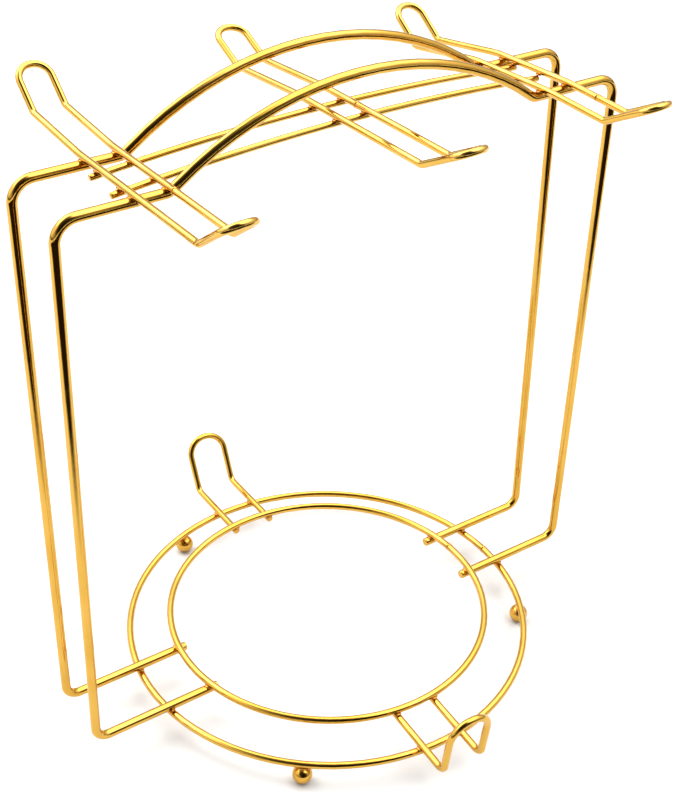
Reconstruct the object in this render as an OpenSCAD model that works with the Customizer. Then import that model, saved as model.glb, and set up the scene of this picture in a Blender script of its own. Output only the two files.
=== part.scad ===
// Cup and saucer rack of bent and spot-welded round wire.
// Two saucer rings stand on three ball feet, two arched frames rise from them, and three closed
// wire loops across the top end in six upturned cup hooks. Every piece is one bent wire.
// +Z is up, the origin is on the table at the centre of the rings, and the front is towards -Y.

/* [Wire] */
// Diameter of the two frames' wire
frame_wire = 4; // [3:0.2:5]
// Diameter of the saucer rings' wire
ring_wire = 3.2; // [2.4:0.2:4]
// Diameter of the saucer guards' wire
guard_wire = 3.2; // [2.4:0.2:4]
// Diameter of the cup hooks' wire
hook_wire = 2.8; // [2:0.2:3.6]
// Diameter of the two rods that carry the middle hook
rod_wire = 2.6; // [2:0.2:3.6]
// How far two crossing wires melt into each other at a spot weld
weld_sink = 0.2; // [0.05:0.05:0.3]

/* [Frames] */
// Width between the leg wires at the bottom
base_width = 250; // [240:1:270]
// Width between the leg wires at the shoulders
top_width = 245; // [236:1:270]
// Height of the shoulder wire above the table
shoulder_height = 254; // [200:1:320]
// Distance between the two frames at the bottom
base_gap = 28.6; // [24:0.2:40]
// Distance between the two frames at the shoulders
top_gap = 34.6; // [28:0.2:44]
// Length of each foot wire that reaches in over the rings
foot_length = 58; // [52:1:66]
// Width of the carrying arch where it leaves the shoulders
arch_span = 159.5; // [150:0.5:168]
// Height of the arch's crown above the shoulders
arch_rise = 27; // [24:1:30]
// Slope at which the arch leaves the shoulders, in degrees
arch_slope = 36; // [35:0.5:37]
// Bend radius of the shoulder corners
shoulder_bend = 8.5; // [6:0.5:16]
// Bend radius at the foot of each leg and at the ends of the arch
tight_bend = 6; // [4:0.5:8]

/* [Saucer rings] */
// Diameter of the inner, upper ring
inner_ring_d = 145; // [138:1:150]
// Diameter of the outer, lower ring
outer_ring_d = 182.4; // [176:0.4:190]
// Diameter of the ball feet
foot_ball = 8.5; // [6:0.5:12]
// Directions of the ball feet round the ring, in degrees from +X
foot_angles = [-130, -28, 108]; // [-180:1:180]

/* [Saucer guards] */
// Width between the two wires of a guard
guard_width = 18.8; // [12:0.2:26]
// How far out from the centre the front guard turns up
front_guard_reach = 106.6; // [98:0.2:120]
// Length and slope of the front guard's upright loop
front_guard_loop = [28, 83]; // [20:1:90]
// How far out from the centre the back guard turns up
back_guard_reach = 111; // [98:0.2:120]
// Length and slope of the back guard's upright loop
back_guard_loop = [26.6, 64.5]; // [20:0.1:90]
// Angle by which the guards are turned round the rings
guard_turn = -2; // [-5:0.5:5]

/* [Cup hooks] */
// Width between the two wires of a hook loop
hook_width = 12.8; // [10:0.2:16]
// Distance of the outer hooks from the middle
hook_spacing = 88; // [86:0.5:96]
// Sideways place of the middle hook
middle_hook_x = 1; // [-10:0.5:10]
// Angles of the left, middle and right hook away from square to the frames
hook_turns = [2.4, 2.3, 5.2]; // [-6:0.1:6]
// Left hook, front end: reach, lift at the knee, tip length and tip slope
left_front = [58.6, -0.6, 20.9, 36.5]; // [-6:0.1:70]
// Left hook, back end: reach, lift at the knee, tip length and tip slope
left_back = [54.3, 3.1, 18.5, 43.4]; // [-6:0.1:70]
// Middle hook, front end: reach, lift at the knee, tip length and tip slope
middle_front = [55.4, 0, 23.3, 28.8]; // [-6:0.1:70]
// Middle hook, back end: reach, lift at the knee, tip length and tip slope
middle_back = [59.8, -2.3, 20.2, 26.3]; // [-6:0.1:70]
// Right hook, front end: reach, lift at the knee, tip length and tip slope
right_front = [50.2, -2.2, 24.3, 28.7]; // [-6:0.1:70]
// Right hook, back end: reach, lift at the knee, tip length and tip slope
right_back = [56, -5, 19.2, 38.1]; // [-6:0.1:70]

/* [Rods] */
// Where the left and right ends of each rod lie, from the middle
rod_ends = [-98, 94]; // [-100:1:100]
// How far the rods bow up between the outer hooks
rod_rise = 3.6; // [2:0.2:8]
// Places of the front and back rod, from the middle
rod_places = [-6.2, 8.8]; // [-12:0.2:12]
// Angles of the front and back rod away from the frames
rod_turns = [1.8, 1.1]; // [-3:0.1:3]

/* [Hidden] */

GOLD = "#E3AE3F";
DARK_GOLD = "#C98F2B";
PALE_GOLD = "#F0C860";

round_facets = 32;      // around a wire
bend_facets = 96;       // around a full circle of bend
ring_facets = 180;      // around a ring
foot_flat = 0.25;       // depth of the flat worn under a ball foot
bend_swell = 0.02;      // a bend is this much thicker than the straights it takes in
bend_lap = 0.2;         // how far a straight runs into the bend
smallest_bend = 1;      // a corner under this many degrees is left straight
knee_bend = 4;          // bend radius of the hooks' and guards' knees
lift_bend = 40;         // bend radius where a hook starts to rise or droop
grip = 20;              // the stretch of a hook that lies flat, each side of the middle
tip_gap = 0.6;          // straight stretch in the middle of a rounded tip

outer_ring_z = foot_ball - foot_flat + ring_wire / 2 - weld_sink;
foot_wire_z = outer_ring_z + ring_wire / 2 + frame_wire / 2 - weld_sink;
inner_ring_z = foot_wire_z + frame_wire / 2 + ring_wire / 2 - weld_sink;
guard_z_outer = outer_ring_z + ring_wire / 2 + guard_wire / 2 - weld_sink;
guard_z_inner = inner_ring_z - ring_wire / 2 - guard_wire / 2 + weld_sink;
guard_end = inner_ring_d / 2 - ring_wire / 2 - 0.4;
rod_side_z = shoulder_height + frame_wire / 2 - rod_wire / 2;
outer_hook_z = shoulder_height + frame_wire / 2 + hook_wire / 2 - weld_sink;
middle_hook_z = rod_side_z + rod_rise + rod_wire / 2 + hook_wire / 2 - weld_sink;
rod_radius = (hook_spacing * hook_spacing + rod_rise * rod_rise) / (2 * rod_rise);

// Height of a guard's wire at a distance y from the centre
function guard_z(y) = guard_z_outer
    + (guard_z_inner - guard_z_outer) * (outer_ring_d / 2 - y) / (outer_ring_d / 2 - inner_ring_d / 2);

// Half the distance between the frames at a height z
function half_gap(z) = (base_gap + (top_gap - base_gap) * (z - foot_wire_z)
    / (shoulder_height - foot_wire_z)) / 2;

function unit(v) = v / norm(v);

// Angle through which a wire turns at corner b of a, b, c
function turn_at(a, b, c) = 180 - acos(unit(a - b) * unit(c - b));

// Distance from corner b to where its bend of radius r begins
function bend_reach(a, b, c, r) = r * tan(turn_at(a, b, c) / 2);

// Places children in the frame whose X and Y directions are given
module placed(origin, x_axis, y_axis) {
    z_axis = cross(x_axis, y_axis);
    multmatrix([
        [x_axis.x, y_axis.x, z_axis.x, origin.x],
        [x_axis.y, y_axis.y, z_axis.y, origin.y],
        [x_axis.z, y_axis.z, z_axis.z, origin.z]
    ]) children();
}

// Straight stretch of wire from a to b, lengthened by lap at each end that is bent
module straight(a, b, d, lap_a, lap_b) {
    along = unit(b - a);
    side = unit(cross(along, abs(along.z) < 0.9 ? [0, 0, 1] : [0, 1, 0]));
    placed(a - along * lap_a, side, cross(along, side))
        cylinder(h = norm(b - a) + lap_a + lap_b, d = d, $fn = round_facets);
}

// Bend of radius r that rounds the corner b between a and c
module bend(a, b, c, r, d) {
    back = unit(a - b);
    onward = unit(c - b);
    turn = turn_at(a, b, c);
    centre = b + unit(back + onward) * r / cos(turn / 2);
    start = b + back * bend_reach(a, b, c, r);
    placed(centre, unit(start - centre), -back)
        rotate_extrude(angle = turn, $fn = bend_facets)
            translate([r, 0]) circle(d = d + bend_swell, $fn = round_facets);
}

// Open wire along corner points, each [point, bend radius]
module open_wire(corners, d) {
    last = len(corners) - 1;
    points = [for (c = corners) c[0]];
    reach = [for (i = [0:last]) i == 0 || i == last ? 0
        : bend_reach(points[i - 1], points[i], points[i + 1], corners[i][1])];
    for (i = [1:last - 1])
        bend(points[i - 1], points[i], points[i + 1], corners[i][1], d);
    for (i = [0:last - 1]) {
        along = unit(points[i + 1] - points[i]);
        straight(points[i] + along * reach[i], points[i + 1] - along * reach[i + 1], d,
            i == 0 ? 0 : bend_lap, i == last - 1 ? 0 : bend_lap);
    }
}

// Closed loop of wire along corner points, each [point, bend radius]
module closed_wire(corners, d) {
    n = len(corners);
    points = [for (c = corners) c[0]];
    reach = [for (i = [0:n - 1])
        bend_reach(points[(i + n - 1) % n], points[i], points[(i + 1) % n], corners[i][1])];
    for (i = [0:n - 1])
        bend(points[(i + n - 1) % n], points[i], points[(i + 1) % n], corners[i][1], d);
    for (i = [0:n - 1]) {
        j = (i + 1) % n;
        along = unit(points[j] - points[i]);
        straight(points[i] + along * reach[i], points[j] - along * reach[j], d, bend_lap, bend_lap);
    }
}

function mirrored_x(corners) = [for (i = [len(corners) - 1:-1:0])
    [[-corners[i][0].x, corners[i][0].y, corners[i][0].z], corners[i][1]]];

// Base: the ring that stands on the ball feet
module outer_ring() {
    color(GOLD) translate([0, 0, outer_ring_z])
        rotate_extrude($fn = ring_facets)
            translate([outer_ring_d / 2, 0]) circle(d = ring_wire, $fn = round_facets);
}

// Base: the smaller ring on top of the foot wires, which the saucers rest on
module inner_ring() {
    color(GOLD) translate([0, 0, inner_ring_z])
        rotate_extrude($fn = ring_facets)
            translate([inner_ring_d / 2, 0]) circle(d = ring_wire, $fn = round_facets);
}

// Frame: foot, leg, shoulder, arch, shoulder, leg and foot in one wire; side is -1 front, 1 back
module frame(side) {
    crown_z = shoulder_height + arch_span / 2 * tan(arch_slope);
    crown_radius = (crown_z - shoulder_height - arch_rise) / (1 / cos(arch_slope) - 1);
    right = [
        [[base_width / 2 - foot_length, side * half_gap(foot_wire_z), foot_wire_z], 0],
        [[base_width / 2, side * half_gap(foot_wire_z), foot_wire_z], tight_bend],
        [[top_width / 2, side * half_gap(shoulder_height), shoulder_height], shoulder_bend],
        [[arch_span / 2, side * half_gap(shoulder_height), shoulder_height], tight_bend]
    ];
    crown = [[[0, side * half_gap(crown_z), crown_z], crown_radius]];
    open_wire(concat(right, crown, mirrored_x(right)), frame_wire);
}

module front_frame() { color(GOLD) frame(-1); }

module back_frame() { color(DARK_GOLD) frame(1); }

// Rod: a thin wire beside the shoulders, bowed up a little in the middle
module rod(place, turn) {
    left_angle = asin(rod_ends[0] / rod_radius);
    right_angle = asin(rod_ends[1] / rod_radius);
    translate([0, place, rod_side_z + rod_rise - rod_radius]) rotate([0, 0, turn])
        rotate([90, 0, 0]) rotate([0, 0, 90 - right_angle])
            rotate_extrude(angle = right_angle - left_angle, $fn = 8 * bend_facets)
                translate([rod_radius, 0]) circle(d = rod_wire, $fn = round_facets);
}

module front_rod() { color(PALE_GOLD) rod(rod_places[0], rod_turns[0]); }

module back_rod() { color(PALE_GOLD) rod(rod_places[1], rod_turns[1]); }

// Corner points of one end of a hook, from the flat stretch to the tip, on the +X wire
function hook_end(end, side) = let (
        x = hook_width / 2,
        knee = [x, side * end[0], end[1]],
        tip = [x, side * (end[0] + end[2] * cos(end[3])), end[1] + end[2] * sin(end[3])],
        rise = atan(abs(end[1]) / (end[0] - grip))
    ) concat(
        rise > smallest_bend ? [[[x, side * grip, 0], lift_bend]] : [],
        [[knee, knee_bend], [tip, (hook_width - tip_gap) / 2]]
    );

// Hook: one closed loop of wire across the frames, turned up at both ends
module hook(x, z, turn, front, back) {
    front_half = hook_end(front, -1);
    right = concat([for (i = [len(front_half) - 1:-1:0]) front_half[i]], hook_end(back, 1));
    translate([x, 0, z]) rotate([0, 0, turn])
        closed_wire(concat(right, mirrored_x(right)), hook_wire);
}

module left_hook() {
    color(PALE_GOLD) hook(-hook_spacing, outer_hook_z, hook_turns[0], left_front, left_back);
}

module middle_hook() {
    color(PALE_GOLD) hook(middle_hook_x, middle_hook_z, hook_turns[1], middle_front, middle_back);
}

module right_hook() {
    color(PALE_GOLD) hook(hook_spacing, outer_hook_z, hook_turns[2], right_front, right_back);
}

// Guard: a hairpin between the rings whose closed end stands up outside them
module guard(side, reach, upright) {
    x = guard_width / 2;
    tip_y = reach + upright[0] * cos(upright[1]);
    tip_z = guard_z(reach) + upright[0] * sin(upright[1]);
    right = [
        [[x, side * guard_end, guard_z(guard_end)], 0],
        [[x, side * reach, guard_z(reach)], knee_bend],
        [[x, side * tip_y, tip_z], (guard_width - tip_gap) / 2]
    ];
    rotate([0, 0, guard_turn]) open_wire(concat(right, mirrored_x(right)), guard_wire);
}

module front_guard() { color(GOLD) guard(-1, front_guard_reach, front_guard_loop); }

module back_guard() { color(GOLD) guard(1, back_guard_reach, back_guard_loop); }

// Ball foot welded under the outer ring, with a small flat worn where it stands
module ball_foot(angle) {
    color(DARK_GOLD) rotate([0, 0, angle]) translate([outer_ring_d / 2, 0, 0]) difference() {
        translate([0, 0, foot_ball / 2 - foot_flat]) sphere(d = foot_ball, $fn = bend_facets);
        translate([0, 0, -foot_ball]) cylinder(h = foot_ball, d = 2 * foot_ball);
    }
}

module front_ball_foot() { ball_foot(foot_angles[0]); }

module right_ball_foot() { ball_foot(foot_angles[1]); }

module back_ball_foot() { ball_foot(foot_angles[2]); }

outer_ring();
inner_ring();
front_frame();
back_frame();
front_rod();
back_rod();
left_hook();
middle_hook();
right_hook();
front_guard();
back_guard();
front_ball_foot();
right_ball_foot();
back_ball_foot();
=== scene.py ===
import math
import bpy
from mathutils import Matrix, Vector, kdtree
from mathutils.geometry import intersect_line_line


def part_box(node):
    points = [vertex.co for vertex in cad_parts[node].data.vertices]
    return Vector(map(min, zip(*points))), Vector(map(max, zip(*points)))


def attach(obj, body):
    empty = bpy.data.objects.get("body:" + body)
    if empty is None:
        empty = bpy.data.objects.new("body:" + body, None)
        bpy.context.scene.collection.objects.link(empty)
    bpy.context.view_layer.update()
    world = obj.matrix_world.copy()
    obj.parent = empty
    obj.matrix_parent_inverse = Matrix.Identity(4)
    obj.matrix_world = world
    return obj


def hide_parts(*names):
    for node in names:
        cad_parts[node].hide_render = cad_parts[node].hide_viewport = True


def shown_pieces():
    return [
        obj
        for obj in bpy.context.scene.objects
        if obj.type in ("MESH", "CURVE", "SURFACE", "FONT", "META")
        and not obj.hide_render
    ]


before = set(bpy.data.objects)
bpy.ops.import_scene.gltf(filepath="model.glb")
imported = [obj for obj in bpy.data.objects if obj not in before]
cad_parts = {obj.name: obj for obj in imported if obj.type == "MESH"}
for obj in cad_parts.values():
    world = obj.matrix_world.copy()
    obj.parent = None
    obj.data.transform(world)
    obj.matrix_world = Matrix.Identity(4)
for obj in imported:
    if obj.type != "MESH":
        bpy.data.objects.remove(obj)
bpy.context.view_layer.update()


# ---- Camera -------------------------------------------------------------------------------
# A standing person's look at the rack on a table, from the front left and well above it.
# The camera leans by a degree and a half, as a hand-held one does.
LOOK_AT = Vector((0.00379, 0, 0.1298))
CAMERA_AWAY = 0.6031
camera_side = math.radians(-34.74)
camera_height = math.radians(34.18)
camera_lean = math.radians(1.47)

camera_back = Vector((
    math.sin(camera_side) * math.cos(camera_height),
    -math.cos(camera_side) * math.cos(camera_height),
    math.sin(camera_height)))
level_right = Vector((math.cos(camera_side), math.sin(camera_side), 0))
level_up = camera_back.cross(level_right)
camera_right = level_right * math.cos(camera_lean) + level_up * math.sin(camera_lean)
camera_up = camera_back.cross(camera_right)

camera = bpy.data.objects.new("camera", bpy.data.cameras.new("camera"))
bpy.context.collection.objects.link(camera)
camera.data.lens = 64.68
camera.data.sensor_width = 36
camera.data.clip_start = 0.01
camera.matrix_world = Matrix.Translation(LOOK_AT + camera_back * CAMERA_AWAY) @ Matrix((
    camera_right, camera_up, camera_back)).transposed().to_4x4()
bpy.context.scene.camera = camera


# ---- Outer ring ---------------------------------------------------------------------------
# The lower saucer ring: 3.2 mm steel wire rolled into a hoop and butt-welded, then gold-plated
# and polished with the whole rack. It rests on the ball feet and carries the foot wires.
UP = Vector((0, 0, 1))
WIRE_SIDES = 32
STEP = 0.004                    # longest stretch of straight wire between two rings of its mesh
BEND_STEP = math.radians(4)     # the same in a bend
# Shapes of a wire's ends: distance from the end, and thickness there as a share of the wire's
BUTT_WELD = [(0, 0.86), (0.00014, 0.9), (0.0003, 1.05), (0.0006, 1.07), (0.001, 1.03), (0.0014, 1)]
CUT_END = [(0, 0.6), (0.0001, 0.82), (0.0003, 0.95), (0.0006, 1)]
SEAM_GAP = 0.00002              # the two ends of a closed wire are joined if they meet this closely
butt_welds = []                 # the places of the seams, where the plating is stained as well


class Wire:
    """A wire that is run straight and bent by turns, from its start to its end."""

    def __init__(self, name, start, heading, diameter, end_shape):
        self.start, self.here = start.copy(), start.copy()
        self.heading = heading.normalized()
        self.radius = diameter / 2
        self.end_shape = end_shape
        self.run_so_far = [0.0]
        bpy.ops.object.select_all(action="DESELECT")
        bpy.ops.mesh.primitive_circle_add(
            vertices=WIRE_SIDES, radius=self.radius * end_shape[0][1], location=start,
            rotation=self.heading.to_track_quat("Z", "Y").to_euler())
        bpy.ops.object.transform_apply(location=True, rotation=True, scale=True)
        self.piece = bpy.context.object
        self.piece.name = self.piece.data.name = name
        bpy.ops.object.mode_set(mode="EDIT")
        bpy.ops.mesh.select_all(action="SELECT")

    def run(self, length):
        steps = max(1, math.ceil(length / STEP))
        for _ in range(steps):
            bpy.ops.mesh.extrude_edges_move(
                TRANSFORM_OT_translate={"value": self.heading * (length / steps)})
            self.run_so_far.append(self.run_so_far[-1] + length / steps)
        self.here += self.heading * length

    def turn(self, towards, bend_radius, angle):
        axis = self.heading.cross(towards).normalized()
        centre = self.here + axis.cross(self.heading) * bend_radius
        steps = max(1, math.ceil(angle / BEND_STEP))
        bpy.ops.mesh.spin(steps=steps, angle=-angle, center=centre, axis=axis)
        for _ in range(steps):
            self.run_so_far.append(self.run_so_far[-1] + bend_radius * angle / steps)
        turned = Matrix.Rotation(angle, 3, axis)
        self.here = centre + turned @ (self.here - centre)
        self.heading = turned @ self.heading

    def shape_end(self, stations, advance):
        for (at, share), (next_at, next_share) in zip(stations, stations[1:]):
            advance(abs(next_at - at))
            swell = next_share / share
            bpy.ops.transform.resize(value=(swell, swell, swell), center_override=self.here)

    def shape_start(self, advance):
        self.shape_end(self.end_shape, advance)

    def finish(self, material, advance, closed):
        """Shape the far end, note where each point lay before the bends, and close the mesh."""
        self.shape_end(self.end_shape[::-1], advance)
        bpy.ops.object.mode_set(mode="OBJECT")
        mesh = self.piece.data
        unbent = mesh.attributes.new("unbent", "FLOAT_VECTOR", "POINT")
        for i in range(len(mesh.vertices)):
            around = math.tau * (i % WIRE_SIDES) / WIRE_SIDES
            unbent.data[i].vector = (self.radius * math.cos(around), self.radius * math.sin(around),
                                     self.run_so_far[i // WIRE_SIDES])
        bpy.ops.object.mode_set(mode="EDIT")
        bpy.ops.mesh.select_all(action="SELECT")
        if closed:
            butt_welds.append(self.start)
            bpy.ops.mesh.remove_doubles(threshold=SEAM_GAP)
        else:
            bpy.ops.mesh.fill_holes(sides=WIRE_SIDES)
        bpy.ops.mesh.normals_make_consistent(inside=False)
        bpy.ops.object.mode_set(mode="OBJECT")
        bpy.ops.object.shade_smooth()
        self.piece.data.materials.append(material)
        return self.piece


def rolled_ring(name, node, seam_angle, material):
    """A ring of wire as wide and as high up as its CAD node, with its seam at an angle from +X."""
    low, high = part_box(node)
    diameter = high.z - low.z
    radius = (high.x - low.x - diameter) / 2
    outward = Vector((math.cos(seam_angle), math.sin(seam_angle), 0))
    onward = Vector((-math.sin(seam_angle), math.cos(seam_angle), 0))
    start = outward * radius + UP * ((low.z + high.z) / 2)
    wire = Wire(name, start, onward, diameter, BUTT_WELD)

    def roll(length):
        inward = Vector((-wire.here.x, -wire.here.y, 0))
        wire.turn(inward, radius, length / radius)

    wire.shape_start(roll)
    roll(math.tau * radius - 2 * BUTT_WELD[-1][0])
    return wire.finish(material, roll, closed=True)


def socket(group, name, kind, way, value=None):
    made = group.interface.new_socket(name, in_out=way, socket_type=kind)
    if value is not None:
        made.default_value = value


def noise_band(tree, vector, scale, low, high, detail=2.0):
    """Noise at a scale, stretched so that low becomes 0 and high becomes 1."""
    noise = tree.nodes.new("ShaderNodeTexNoise")
    noise.inputs["Scale"].default_value = scale
    noise.inputs["Detail"].default_value = detail
    tree.links.new(vector, noise.inputs["Vector"])
    band = tree.nodes.new("ShaderNodeMapRange")
    band.interpolation_type = "SMOOTHSTEP"
    band.inputs["From Min"].default_value = low
    band.inputs["From Max"].default_value = high
    tree.links.new(noise.outputs["Fac"], band.inputs["Value"])
    return band.outputs["Result"]


def along_wire(tree, across, along):
    """The place on the wire before it was bent, scaled across and along it."""
    unbent = tree.nodes.new("ShaderNodeAttribute")
    unbent.attribute_name = "unbent"
    scaled = tree.nodes.new("ShaderNodeMapping")
    scaled.inputs["Scale"].default_value = (across, across, along)
    tree.links.new(unbent.outputs["Vector"], scaled.inputs["Vector"])
    return scaled.outputs["Vector"]


def calc(tree, operation, first, second, third=None):
    node = tree.nodes.new("ShaderNodeMath")
    node.operation = operation
    for place, value in zip(node.inputs, (first, second, third)):
        if isinstance(value, bpy.types.NodeSocket):
            tree.links.new(value, place)
        elif value is not None:
            place.default_value = value
    return node.outputs["Value"]


def blend(tree, share, first, second):
    node = tree.nodes.new("ShaderNodeMix")
    node.data_type = "RGBA"
    tree.links.new(share, node.inputs["Factor"])
    tree.links.new(first, node.inputs[6])
    tree.links.new(second, node.inputs[7])
    return node.outputs[2]


# Plating is a little thicker here and thinner there, runs in faint streaks along the drawn
# wire, and is stained by heat around the welds.
tone = bpy.data.node_groups.new("plating_tone", "ShaderNodeTree")
socket(tone, "Thin plating", "NodeSocketColor", "INPUT")
socket(tone, "Full plating", "NodeSocketColor", "INPUT")
socket(tone, "Heat stain", "NodeSocketColor", "INPUT")
socket(tone, "Tone", "NodeSocketColor", "OUTPUT")
given, result = tone.nodes.new("NodeGroupInput"), tone.nodes.new("NodeGroupOutput")
place = tone.nodes.new("ShaderNodeTexCoord").outputs["Object"]
patches = noise_band(tone, place, scale=45, low=0.35, high=0.65, detail=3)
streaks = noise_band(tone, along_wire(tone, across=1500, along=45), scale=1, low=0.3, high=0.7)
cover = calc(tone, "MULTIPLY_ADD", streaks, 0.35, calc(tone, "MULTIPLY", patches, 0.65))
plated = blend(tone, cover, given.outputs["Thin plating"], given.outputs["Full plating"])
heat = tone.nodes.new("ShaderNodeAttribute")
heat.attribute_name = "weld_heat"
stain = calc(tone, "MULTIPLY", heat.outputs["Fac"], calc(tone, "MULTIPLY_ADD", patches, 0.5, 0.5))
tone.links.new(blend(tone, stain, plated, given.outputs["Heat stain"]), result.inputs["Tone"])

# Polishing leaves fine lines along the wire, and plating an even, faint ripple with a few pits.
polish = bpy.data.node_groups.new("polished_surface", "ShaderNodeTree")
socket(polish, "Bright roughness", "NodeSocketFloat", "INPUT", 0.1)
socket(polish, "Dull roughness", "NodeSocketFloat", "INPUT", 0.25)
socket(polish, "Roughness", "NodeSocketFloat", "OUTPUT")
socket(polish, "Height", "NodeSocketFloat", "OUTPUT")
given, result = polish.nodes.new("NodeGroupInput"), polish.nodes.new("NodeGroupOutput")
place = polish.nodes.new("ShaderNodeTexCoord").outputs["Object"]
lines = noise_band(polish, along_wire(polish, across=7000, along=90), scale=1, low=0.3, high=0.7)
ripple = noise_band(polish, along_wire(polish, across=300, along=110), scale=1, low=0.2, high=0.8)
smudges = noise_band(polish, place, scale=75, low=0.48, high=0.72, detail=4)
pores = noise_band(polish, place, scale=1900, low=0.66, high=0.74)
heat = polish.nodes.new("ShaderNodeAttribute")
heat.attribute_name = "weld_heat"
dulled = calc(polish, "MULTIPLY_ADD", lines, 0.3, calc(polish, "MULTIPLY", smudges, 0.7))
dulled = calc(polish, "MULTIPLY_ADD", heat.outputs["Fac"], 0.5, dulled)
span = calc(polish, "SUBTRACT", given.outputs["Dull roughness"], given.outputs["Bright roughness"])
polish.links.new(calc(polish, "MULTIPLY_ADD", dulled, span, given.outputs["Bright roughness"]),
                 result.inputs["Roughness"])
relief = calc(polish, "MULTIPLY_ADD", lines, 0.05, ripple)
relief = calc(polish, "MULTIPLY_ADD", pores, -0.15, relief)
polish.links.new(relief, result.inputs["Height"])
RELIEF = 0.000025               # depth of the ripple in the plating


def gold_plate(name, thin, full, stain, bright, dull):
    """Polished gold plating on steel: two tones, a heat stain, and the range of its roughness."""
    material = bpy.data.materials.new(name)
    material.use_nodes = True
    tree = material.node_tree
    shader = tree.nodes["Principled BSDF"]
    shader.inputs["Metallic"].default_value = 1
    colour = tree.nodes.new("ShaderNodeGroup")
    colour.node_tree = tone
    for part, value in (("Thin plating", thin), ("Full plating", full), ("Heat stain", stain)):
        colour.inputs[part].default_value = (*value, 1)
    surface = tree.nodes.new("ShaderNodeGroup")
    surface.node_tree = polish
    surface.inputs["Bright roughness"].default_value = bright
    surface.inputs["Dull roughness"].default_value = dull
    bump = tree.nodes.new("ShaderNodeBump")
    bump.inputs["Strength"].default_value = 1
    bump.inputs["Distance"].default_value = RELIEF
    tree.links.new(colour.outputs["Tone"], shader.inputs["Base Color"])
    tree.links.new(surface.outputs["Roughness"], shader.inputs["Roughness"])
    tree.links.new(surface.outputs["Height"], bump.inputs["Height"])
    tree.links.new(bump.outputs["Normal"], shader.inputs["Normal"])
    return material


ring_gold = gold_plate(
    "ring_gold", thin=(0.62, 0.345, 0.05), full=(0.7, 0.415, 0.08), stain=(0.46, 0.18, 0.025),
    bright=0.05, dull=0.17)
OUTER_SEAM = math.radians(-1.6)
outer_ring = rolled_ring("outer_ring_wire", "outer_ring", OUTER_SEAM, ring_gold)
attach(outer_ring, "root")
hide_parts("outer_ring")


# ---- Ball feet ----------------------------------------------------------------------------
# Three solid steel balls welded under the outer ring. Each is plated with the rack, and has a
# small flat where it has worn on the table.
foot_gold = gold_plate(
    "foot_gold", thin=(0.58, 0.31, 0.04), full=(0.68, 0.39, 0.07), stain=(0.42, 0.16, 0.025),
    bright=0.04, dull=0.13)
BALL_FEET = ("front_ball_foot", "right_ball_foot", "back_ball_foot")
FLAT_HEIGHT = 0.00002           # how far the flats stay clear of the table
for node in BALL_FEET:
    low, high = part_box(node)
    ball = (high.x - low.x) / 2
    middle = Vector(((low.x + high.x) / 2, (low.y + high.y) / 2, high.z - ball))
    bpy.ops.object.select_all(action="DESELECT")
    bpy.ops.mesh.primitive_uv_sphere_add(segments=64, ring_count=48, radius=ball, location=middle)
    bpy.ops.object.transform_apply(location=True, rotation=True, scale=True)
    foot = bpy.context.object
    foot.name = foot.data.name = node + "_ball"
    bpy.ops.object.mode_set(mode="EDIT")
    bpy.ops.mesh.select_all(action="SELECT")
    bpy.ops.mesh.bisect(plane_co=UP * FLAT_HEIGHT, plane_no=UP, use_fill=True,
                        clear_inner=True, threshold=0.000001)
    bpy.ops.mesh.select_all(action="SELECT")
    bpy.ops.mesh.normals_make_consistent(inside=False)
    bpy.ops.object.mode_set(mode="OBJECT")
    bpy.ops.object.shade_smooth_by_angle(angle=math.radians(40))
    foot.data.materials.append(foot_gold)
    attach(foot, "root")
    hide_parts(node)


# ---- Frames -------------------------------------------------------------------------------
# Two frames of 4 mm wire, each bent in one piece: foot, leg, shoulder, carrying arch, shoulder,
# leg and foot. The foot wires lie on the outer ring and are spot-welded to both rings.
FRAME_WIRE = 0.004
SHOULDER_HEIGHT = 0.254
TOP_WIDTH = 0.245
FOOT_LENGTH = 0.058
ARCH_SPAN = 0.1595
ARCH_SLOPE = math.radians(36)
SHOULDER_BEND = 0.0085
TIGHT_BEND = 0.006


def bent_wire(name, corners, diameter, material):
    """An open wire through its corners, each (point, bend radius)."""
    points = [Vector(point) for point, _ in corners]
    wire = Wire(name, points[0], points[1] - points[0], diameter, CUT_END)
    wire.shape_start(wire.run)
    for last, corner, after, (_, bend_radius) in zip(points, points[1:], points[2:], corners[1:]):
        angle = (corner - last).angle(after - corner)
        wire.run((corner - wire.here).length - bend_radius * math.tan(angle / 2))
        wire.turn(after - corner, bend_radius, angle)
    wire.run((points[-1] - wire.here).length - CUT_END[-1][0])
    return wire.finish(material, wire.run, closed=False)


def mirrored(corners):
    """The same corners on the other side of the rack's middle, in the opposite order."""
    return [((-x, y, z), bend_radius) for (x, y, z), bend_radius in reversed(corners)]


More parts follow.
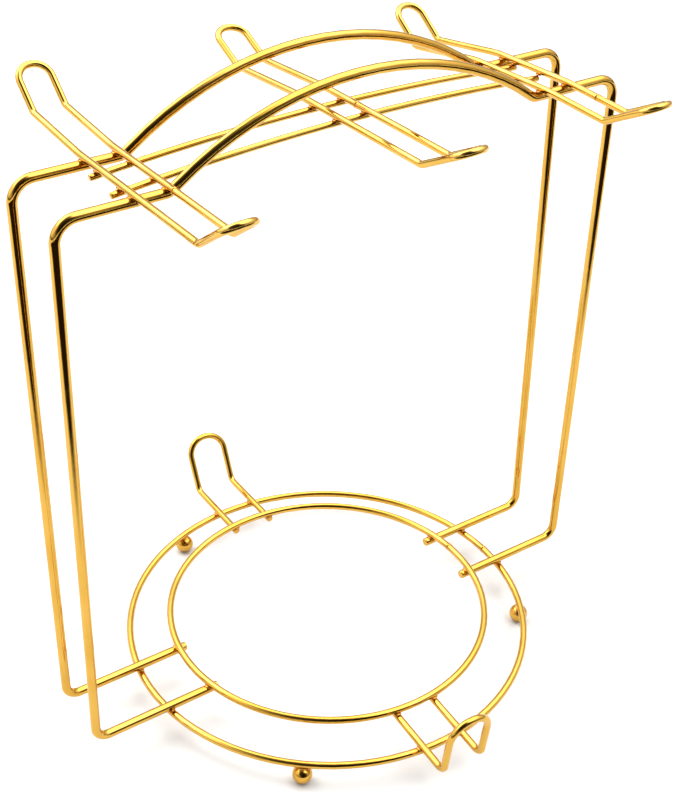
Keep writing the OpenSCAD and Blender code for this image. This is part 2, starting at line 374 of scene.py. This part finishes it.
frame_gold = gold_plate(
    "frame_gold", thin=(0.61, 0.335, 0.048), full=(0.7, 0.41, 0.08), stain=(0.45, 0.175, 0.025),
    bright=0.045, dull=0.16)
frame_lines = {}
for node in ("front_frame", "back_frame"):
    low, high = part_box(node)
    side = -1 if node == "front_frame" else 1
    foot_z = low.z + FRAME_WIRE / 2
    crown_top = high.z - FRAME_WIRE / 2
    base_half = high.x - FRAME_WIRE / 2
    gap_base = min(abs(low.y), abs(high.y)) + FRAME_WIRE / 2
    gap_crown = max(abs(low.y), abs(high.y)) - FRAME_WIRE / 2
    lean = (gap_crown - gap_base) / (crown_top - foot_z)

    def lies_at(x, z):
        return (x, side * (gap_base + lean * (z - foot_z)), z)

    peak_z = SHOULDER_HEIGHT + ARCH_SPAN / 2 * math.tan(ARCH_SLOPE)
    crown_radius = (peak_z - crown_top) / (1 / math.cos(ARCH_SLOPE) - 1)
    right = [(lies_at(base_half - FOOT_LENGTH, foot_z), 0),
             (lies_at(base_half, foot_z), TIGHT_BEND),
             (lies_at(TOP_WIDTH / 2, SHOULDER_HEIGHT), SHOULDER_BEND),
             (lies_at(ARCH_SPAN / 2, SHOULDER_HEIGHT), TIGHT_BEND)]
    corners = right + [(lies_at(0, peak_z), crown_radius)] + mirrored(right)
    bent = bent_wire(node + "_wire", corners, FRAME_WIRE, frame_gold)
    frame_lines[node] = right
    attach(bent, "root")
    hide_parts(node)


# ---- Saucer guards ------------------------------------------------------------------------
# Two hairpins of 3.2 mm wire whose legs lie between the rings, welded to both. Their closed
# ends are bent up outside the rings and keep the saucers from sliding off.
GUARD_KNEE = 0.004
TIP_GAP = 0.0006                # straight stretch in the middle of a rounded tip
GUARD_TURN = math.radians(-2)   # the guards stand a little askew
GUARD_WIDTH = 0.0188
PAST_RING = 0.0004              # how far the legs reach past the inner ring
GUARD_WIRE = 0.0032
outer_low, outer_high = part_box("outer_ring")
inner_low, inner_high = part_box("inner_ring")
ring_wire = outer_high.z - outer_low.z
outer_radius = (outer_high.x - outer_low.x - ring_wire) / 2
inner_radius = (inner_high.x - inner_low.x - ring_wire) / 2
WELD_SINK = 0.0002              # how far two welded wires sink into each other


def guard_height(reach):
    """Height of a guard's legs at a distance from the centre, lying between the two rings."""
    at_outer = outer_high.z + GUARD_WIRE / 2 - WELD_SINK
    at_inner = inner_low.z - GUARD_WIRE / 2 + WELD_SINK
    return at_outer + (at_inner - at_outer) * (outer_radius - reach) / (outer_radius - inner_radius)


# For each: the side it is on, how far out its knee is, and the length and slope of its raised end
guard_legs = []
for node, side, reach, length, slope in (
        ("front_guard", -1, 0.1066, 0.028, math.radians(83)),
        ("back_guard", 1, 0.111, 0.0266, math.radians(64.5))):
    turned = Matrix.Rotation(GUARD_TURN, 3, "Z")
    half = GUARD_WIDTH / 2
    end = inner_radius - ring_wire / 2 - PAST_RING
    tip_y = reach + length * math.cos(slope)
    tip_z = guard_height(reach) + length * math.sin(slope)
    right = [((half, side * end, guard_height(end)), 0),
             ((half, side * reach, guard_height(reach)), GUARD_KNEE),
             ((half, side * tip_y, tip_z), (GUARD_WIDTH - TIP_GAP) / 2)]
    corners = [(turned @ Vector(point), bend) for point, bend in right + mirrored(right)]
    guard_legs += [(corners[0][0], corners[1][0]), (corners[-1][0], corners[-2][0])]
    guard = bent_wire(node + "_wire", corners, GUARD_WIRE, ring_gold)
    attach(guard, "root")
    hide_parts(node)


# ---- Inner ring ---------------------------------------------------------------------------
# The smaller hoop that the lowest saucer stands on. It lies on top of the foot wires and the
# guards' legs, and its butt weld is at the right-hand side, like the outer ring's.
INNER_SEAM = math.radians(1.4)
inner_ring = rolled_ring("inner_ring_wire", "inner_ring", INNER_SEAM, ring_gold)
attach(inner_ring, "root")
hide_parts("inner_ring")


# ---- Rods ---------------------------------------------------------------------------------
# Two thin rods of 2.6 mm wire between the frames, bowed up a little in the middle. They tie
# the outer hooks together and carry the middle hook.
HOOK_SPACING = 0.088            # between neighbouring hooks
ROD_LEFT = -0.098
ROD_RIGHT = 0.094
ROD_RISE = 0.0036               # how much higher the middle is than the places of the outer hooks
ROD_WIRE = 0.0026
rod_gold = gold_plate(
    "rod_gold", thin=(0.64, 0.365, 0.058), full=(0.73, 0.44, 0.095), stain=(0.46, 0.19, 0.03),
    bright=0.06, dull=0.18)
rod_radius = (HOOK_SPACING ** 2 + ROD_RISE ** 2) / (2 * ROD_RISE)
rod_side_z = SHOULDER_HEIGHT + FRAME_WIRE / 2 - ROD_WIRE / 2
rod_lines = []
for node, place_y, turn in (
        ("front_rod", -0.0062, math.radians(1.8)), ("back_rod", 0.0088, math.radians(1.1))):
    along = Vector((math.cos(turn), math.sin(turn), 0))
    left_bow = math.asin(-ROD_LEFT / rod_radius)
    right_bow = math.asin(ROD_RIGHT / rod_radius)
    apex = Vector((0, place_y, rod_side_z + ROD_RISE))
    start = apex + along * ROD_LEFT - UP * rod_radius * (1 - math.cos(left_bow))
    heading = along * math.cos(left_bow) + UP * math.sin(left_bow)
    rod = Wire(node + "_wire", start, heading, ROD_WIRE, CUT_END)

    def bow_rod(length):
        rod.turn(-UP, rod_radius, length / rod_radius)

    rod.shape_start(bow_rod)
    bowed_length = (left_bow + right_bow) * rod_radius - 2 * CUT_END[-1][0]
    stretches = math.ceil(bowed_length / STEP)
    for _ in range(stretches):
        bow_rod(bowed_length / stretches)
    rod_piece = rod.finish(rod_gold, bow_rod, closed=False)
    rod_lines.append((apex, along))
    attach(rod_piece, "root")
    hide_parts(node)


# ---- Cup hooks ----------------------------------------------------------------------------
# Three closed loops of 2.8 mm wire across the frames, whose two ends are turned up into hooks.
# The outer two lie on the shoulders and the rods, and the middle one on the rods alone. Each
# was set by eye before it was welded, so that reach, lift and slope differ from end to end.
HOOK_WIDTH = 0.0128
HOOK_KNEE = 0.004
LIFT_BEND = 0.04                # bend radius where a hook starts to rise or droop
GRIP = 0.02                     # the stretch of a hook that lies flat, each side of the middle
LEVEL = math.radians(1)         # a hook that slopes less than this is not bent before its knee
HOOK_WIRE = 0.0028
outer_hook_z = SHOULDER_HEIGHT + FRAME_WIRE / 2 + HOOK_WIRE / 2 - WELD_SINK
middle_hook_z = rod_side_z + ROD_RISE + ROD_WIRE / 2 + HOOK_WIRE / 2 - WELD_SINK
hook_gold = gold_plate(
    "hook_gold", thin=(0.64, 0.37, 0.06), full=(0.73, 0.45, 0.1), stain=(0.46, 0.19, 0.03),
    bright=0.05, dull=0.17)


def closed_wire(name, corners, diameter, seam, material):
    """A loop of wire through its corners, each (point, bend radius). It starts and ends at a butt
    weld that lies a share of the way along the first stretch."""
    points = [Vector(point) for point, _ in corners]
    start = points[0].lerp(points[1], seam)
    wire = Wire(name, start, points[1] - points[0], diameter, BUTT_WELD)
    wire.shape_start(wire.run)
    for i in range(len(points)):
        last, corner, after = (points[(i + ahead) % len(points)] for ahead in range(3))
        bend_radius = corners[(i + 1) % len(points)][1]
        angle = (corner - last).angle(after - corner)
        wire.run((corner - wire.here).length - bend_radius * math.tan(angle / 2))
        wire.turn(after - corner, bend_radius, angle)
    wire.run((start - wire.here).length - BUTT_WELD[-1][0])
    return wire.finish(material, wire.run, closed=True)


def hook_end(side, reach, lift, tip_length, tip_slope):
    """Corners of one end of a hook, from its flat stretch to its tip, on the +X wire."""
    slope = math.radians(tip_slope)
    half = HOOK_WIDTH / 2
    knee = (half, side * reach, lift)
    tip = (half, side * (reach + tip_length * math.cos(slope)), lift + tip_length * math.sin(slope))
    slopes = abs(lift) / (reach - GRIP) > math.tan(LEVEL)
    start = [((half, side * GRIP, 0), LIFT_BEND)] if slopes else []
    return start + [(knee, HOOK_KNEE), (tip, (HOOK_WIDTH - TIP_GAP) / 2)]


# For each: its place, its turn in degrees, where its weld is along the stretch behind its front
# knee, and its front and back ends: reach, lift, length of the tip and slope of the tip
hook_lines = {}
for node, x, z, turn, seam, front, back in (
        ("left_hook", -HOOK_SPACING, outer_hook_z, 2.4, 0.45,
         (0.0586, -0.0006, 0.0209, 36.5), (0.0543, 0.0031, 0.0185, 43.4)),
        ("middle_hook", 0.001, middle_hook_z, 2.3, 0.71,
         (0.0554, 0, 0.0233, 28.8), (0.0598, -0.0023, 0.0202, 26.3)),
        ("right_hook", HOOK_SPACING, outer_hook_z, 5.2, 0.5,
         (0.0502, -0.0022, 0.0243, 28.7), (0.056, -0.005, 0.0192, 38.1))):
    front_tip, *rest = hook_end(-1, *front)[::-1] + hook_end(1, *back)
    placed = Matrix.Translation((x, 0, z)) @ Matrix.Rotation(math.radians(turn), 4, "Z")
    loop = rest + mirrored([front_tip] + rest) + [front_tip]
    loop = [(placed @ Vector(point), bend) for point, bend in loop]
    hook = closed_wire(node + "_wire", loop, HOOK_WIRE, seam, hook_gold)
    across = placed.to_3x3() @ Vector((HOOK_WIDTH / 2, 0, 0))
    ahead = placed.to_3x3() @ Vector((0, 1, 0))
    hook_lines[node] = [(placed.translation + across, ahead), (placed.translation - across, ahead)]
    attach(hook, "root")
    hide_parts(node)


# ---- Spot welds ---------------------------------------------------------------------------
# Where two wires cross they are pressed together and melted, which squeezes a thin collar of
# metal out between them. The collars were plated too, and the plating around them is stained.
weld_gold = gold_plate(
    "weld_gold", thin=(0.5, 0.22, 0.03), full=(0.72, 0.4, 0.08), stain=(0.45, 0.17, 0.03),
    bright=0.2, dull=0.4)
COLLAR_TURN = 2.4               # radians from one collar to the next, so that no two look alike
bpy.ops.object.select_all(action="DESELECT")
bpy.ops.mesh.primitive_uv_sphere_add(segments=24, ring_count=12, radius=1)
collar = bpy.context.object
bpy.ops.object.mode_set(mode="EDIT")
bpy.ops.mesh.select_all(action="SELECT")
bpy.ops.transform.vertex_random(offset=0.12, uniform=0.4, normal=0.6, seed=3)
bpy.ops.mesh.vertices_smooth(factor=0.5, repeat=2)
REGROWTH = 1.06                 # makes up for what the smoothing took off
bpy.ops.transform.resize(value=(REGROWTH, REGROWTH, REGROWTH), center_override=(0, 0, 0))
bpy.ops.object.mode_set(mode="OBJECT")


def add_collar(at, reach, thickness, turn):
    """A copy of the collar, lying flat at a weld and turned its own way."""
    copy = collar.copy()
    copy.data = collar.data.copy()
    bpy.context.collection.objects.link(copy)
    copy.data.transform(
        Matrix.Translation(at) @ Matrix.Rotation(turn, 4, "Z")
        @ Matrix.Diagonal((reach, reach, thickness, 1)))
    return copy


def crossing(line, other, height):
    """Where two straight wires, each (place, direction), cross as seen from above."""
    near, far = intersect_line_line(line[0], line[0] + line[1], other[0], other[0] + other[1])
    at = (near + far) / 2
    return Vector((at.x, at.y, height))


ring_welds, frame_welds, rod_welds, foot_welds = [], [], [], []
outer_top = outer_high.z - WELD_SINK / 2
inner_bottom = inner_low.z + WELD_SINK / 2
for right in frame_lines.values():
    y = right[0][0][1]
    for side in (-1, 1):
        ring_welds.append(Vector((side * math.sqrt(outer_radius ** 2 - y ** 2), y, outer_top)))
        ring_welds.append(Vector((side * math.sqrt(inner_radius ** 2 - y ** 2), y, inner_bottom)))
for end, knee in guard_legs:
    for radius, height in ((outer_radius, outer_top), (inner_radius, inner_bottom)):
        share = (radius - end.xy.length) / (knee.xy.length - end.xy.length)
        at = end.lerp(knee, share)
        ring_welds.append(Vector((at.x, at.y, height)))
for node in BALL_FEET:
    low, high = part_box(node)
    foot_welds.append(Vector(((low.x + high.x) / 2, (low.y + high.y) / 2, high.z - WELD_SINK / 2)))
for node, lines in hook_lines.items():
    for line in lines:
        under_hook = line[0].z - HOOK_WIRE / 2 + WELD_SINK / 2
        for rod_line in rod_lines:
            rod_welds.append(crossing(line, rod_line, under_hook))
        if node != "middle_hook":
            for right in frame_lines.values():
                shoulder = (Vector(right[2][0]), Vector((1, 0, 0)))
                frame_welds.append(crossing(line, shoulder, under_hook))

turn = math.pi
for name, welds, reach, thickness in (
        ("ring_weld_collars", ring_welds, 0.0019, 0.00055),
        ("ball_foot_weld_collars", foot_welds, 0.0021, 0.0005),
        ("shoulder_weld_collars", frame_welds, 0.0017, 0.00055),
        ("rod_weld_collars", rod_welds, 0.0015, 0.0005)):
    bpy.ops.object.select_all(action="DESELECT")
    for at in welds:
        turn += COLLAR_TURN
        copy = add_collar(at, reach, thickness, turn)
        copy.select_set(True)
        bpy.context.view_layer.objects.active = copy
    bpy.ops.object.join()
    collars = bpy.context.object
    collars.name = collars.data.name = name
    bpy.ops.object.shade_smooth()
    collars.data.materials.append(weld_gold)
    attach(collars, "root")
bpy.data.objects.remove(collar)

# The heat stain fades out over a few millimetres of each wire around its welds.
STAIN_REACH = 0.006
STAIN_FALL = 1.5                # above 1, so that it fades fast near a weld and slowly further out
all_welds = ring_welds + frame_welds + rod_welds + foot_welds + butt_welds
near_weld = kdtree.KDTree(len(all_welds))
for i, at in enumerate(all_welds):
    near_weld.insert(at, i)
near_weld.balance()
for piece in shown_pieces():
    stain = piece.data.attributes.new("weld_heat", "FLOAT", "POINT")
    for vertex, value in zip(piece.data.vertices, stain.data):
        away = near_weld.find(vertex.co)[2]
        value.value = max(0, 1 - away / STAIN_REACH) ** STAIN_FALL


# ---- Floor and light ----------------------------------------------------------------------
# A sheet of white paper under a bright, soft ceiling, with a window behind on the left and a
# pale wall on the right. In front and on the left the room is dark. A black card lies there that
# only paints a dark reflection into the polished wire; the dark room and this painted dark
# reflection give the wire its dark streaks.
PAPER_WHITE = (0.72, 0.72, 0.72, 1)
bpy.context.scene.view_settings.view_transform = "Standard"
bpy.ops.object.select_all(action="DESELECT")
bpy.ops.mesh.primitive_plane_add(size=8)
floor = bpy.context.object
floor.name = "floor"
paper = bpy.data.materials.new("paper")
paper.use_nodes = True
paper.node_tree.nodes["Principled BSDF"].inputs["Base Color"].default_value = PAPER_WHITE
paper.node_tree.nodes["Principled BSDF"].inputs["Roughness"].default_value = 1
paper.node_tree.nodes["Principled BSDF"].inputs["Specular IOR Level"].default_value = 0
floor.data.materials.append(paper)

world = bpy.data.worlds.new("studio")
bpy.context.scene.world = world
world.use_nodes = True
sky = world.node_tree
sky.nodes["Background"].inputs["Color"].default_value = (1, 1, 1, 1)
towards = sky.nodes.new("ShaderNodeTexCoord").outputs["Generated"]


def area_of_sky(side, height, full, none):
    """1 within the full angle around a direction of the sky, 0 beyond the none angle."""
    side, height = math.radians(side), math.radians(height)
    dot = sky.nodes.new("ShaderNodeVectorMath")
    dot.operation = "DOT_PRODUCT"
    dot.inputs[1].default_value = (
        math.cos(side) * math.cos(height), math.sin(side) * math.cos(height), math.sin(height))
    sky.links.new(towards, dot.inputs[0])
    share = sky.nodes.new("ShaderNodeMapRange")
    share.interpolation_type = "SMOOTHSTEP"
    share.inputs["From Min"].default_value = math.cos(math.radians(none))
    share.inputs["From Max"].default_value = math.cos(math.radians(full))
    sky.links.new(dot.outputs["Value"], share.inputs["Value"])
    return share.outputs["Result"]


EVEN_LIGHT = 0.72
CEILING_LIGHT = 2.6
WINDOW_LIGHT = 0.9
WALL_LIGHT = 0.7
DARKNESS = 0.88                 # the share of the light that a dark part of the room lacks
LIGHT_BELOW = 0.25              # the share that is left below the level of the table
SEEN_LIGHT = 0.93               # what the camera sees beyond the paper
ceiling = area_of_sky(side=0, height=90, full=32, none=62)
window = area_of_sky(side=136, height=35, full=20, none=55)
side_wall = area_of_sky(side=-19, height=50, full=12, none=45)
room = calc(sky, "MULTIPLY_ADD", ceiling, CEILING_LIGHT, EVEN_LIGHT)
room = calc(sky, "MULTIPLY_ADD", window, WINDOW_LIGHT, room)
room = calc(sky, "MULTIPLY_ADD", side_wall, WALL_LIGHT, room)
for side, height, full, none in ((-150, 62, 16, 36), (-98, 20, 18, 42), (-122, 36, 22, 42)):
    shade = calc(sky, "MULTIPLY_ADD", area_of_sky(side, height, full, none), -DARKNESS, 1)
    room = calc(sky, "MULTIPLY", room, shade)
above_table = area_of_sky(side=0, height=90, full=83, none=89)
room = calc(sky, "MULTIPLY", room,
            calc(sky, "MULTIPLY_ADD", above_table, 1 - LIGHT_BELOW, LIGHT_BELOW))
seen = sky.nodes.new("ShaderNodeLightPath").outputs["Is Camera Ray"]
plain = calc(sky, "MULTIPLY", seen, calc(sky, "SUBTRACT", SEEN_LIGHT, room))
sky.links.new(calc(sky, "ADD", room, plain), sky.nodes["Background"].inputs["Strength"])

# A softbox behind the rack, on the left, lights its back edges.
lamp = bpy.data.objects.new("back_box", bpy.data.lights.new("back_box", "AREA"))
bpy.context.collection.objects.link(lamp)
lamp.data.shape = "RECTANGLE"
lamp.data.size = 0.9
lamp.data.size_y = 0.7
lamp.data.energy = 6
lamp_place = Vector((-0.5, 0.9, 1.2))
lamp_aim = Vector((0, 0, 0.1)) - lamp_place
lamp.matrix_world = (Matrix.Translation(lamp_place)
                     @ lamp_aim.to_track_quat("-Z", "Y").to_matrix().to_4x4())

# The card is a painted dark reflection: near-black, fading into paper white at its edge next to the
# rack.
CARD_FROM = 0.17                # from the middle of the rack to the card's near edge
CARD_DEPTH = 1.3
CARD_WIDTH = 2.6
CARD_FADE = 0.1
CARD_HEIGHT = 0.0015
card_painted_dark_reflection = bpy.data.materials.new("card_painted_dark_reflection")
card_painted_dark_reflection.use_nodes = True
tree = card_painted_dark_reflection.node_tree
tree.nodes["Principled BSDF"].inputs["Roughness"].default_value = 1
tree.nodes["Principled BSDF"].inputs["Specular IOR Level"].default_value = 0
on_card = tree.nodes.new("ShaderNodeSeparateXYZ")
tree.links.new(tree.nodes.new("ShaderNodeTexCoord").outputs["Object"], on_card.inputs["Vector"])
fade = tree.nodes.new("ShaderNodeValToRGB")
fade.color_ramp.elements[0].position = 0
fade.color_ramp.elements[0].color = (0.012, 0.008, 0.005, 1)
fade.color_ramp.elements[1].position = 1
fade.color_ramp.elements[1].color = PAPER_WHITE
share = tree.nodes.new("ShaderNodeMapRange")
share.inputs["From Min"].default_value = 0.5 - CARD_FADE / CARD_DEPTH
share.inputs["From Max"].default_value = 0.5
tree.links.new(on_card.outputs["Y"], share.inputs["Value"])
tree.links.new(share.outputs["Result"], fade.inputs["Fac"])
tree.links.new(fade.outputs["Color"], tree.nodes["Principled BSDF"].inputs["Base Color"])
bpy.ops.object.select_all(action="DESELECT")
bpy.ops.mesh.primitive_plane_add(size=1)
card = bpy.context.object
card.name = "card_for_dark_reflection"
card_side = math.radians(-14)
ahead = Vector((math.sin(card_side), -math.cos(card_side), 0))
card.matrix_world = (Matrix.Translation(ahead * (CARD_FROM + CARD_DEPTH / 2) + UP * CARD_HEIGHT)
                     @ Matrix.Rotation(card_side, 4, "Z")
                     @ Matrix.Diagonal((CARD_WIDTH, CARD_DEPTH, 1, 1)))
# Hidden from the camera, from diffuse light and from shadows, the card shows only as a painted dark
# reflection in the polished wire.
card.visible_camera = card.visible_diffuse = card.visible_shadow = False
card.data.materials.append(card_painted_dark_reflection)
